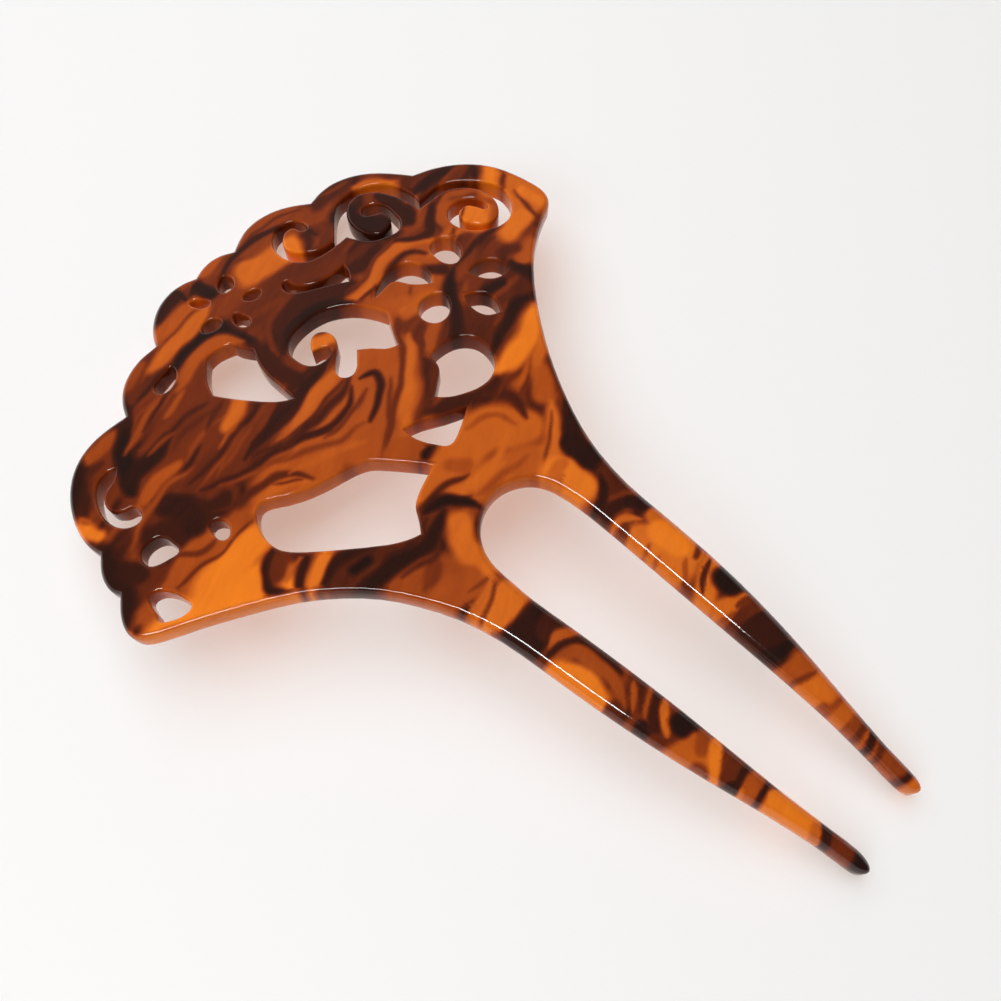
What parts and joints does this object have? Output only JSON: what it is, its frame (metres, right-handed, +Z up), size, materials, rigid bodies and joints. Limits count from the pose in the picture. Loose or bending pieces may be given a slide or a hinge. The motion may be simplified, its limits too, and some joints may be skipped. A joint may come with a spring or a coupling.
{
  "type": "two-pronged hairpin (kanzashi)",
  "caption": "Scalloped, pierced fan-shaped hairpin with two tapering prongs, cut from one arched plate of tortoiseshell-patterned plastic.",
  "frame": {"origin": "centre of the bounding box in plan, on the surface that the pin lies on", "axes": "+X across the fan, +Y from the prong tips to the fan's top, +Z up, out of the convex upper face"},
  "size_m": [0.0858, 0.1256, 0.0145],
  "materials": {
    "tortoiseshell": "polished translucent amber with dark brown streaks"
  },
  "bodies": {
    "root": {"hairpin": "tortoiseshell"}
  },
  "joints": []
}
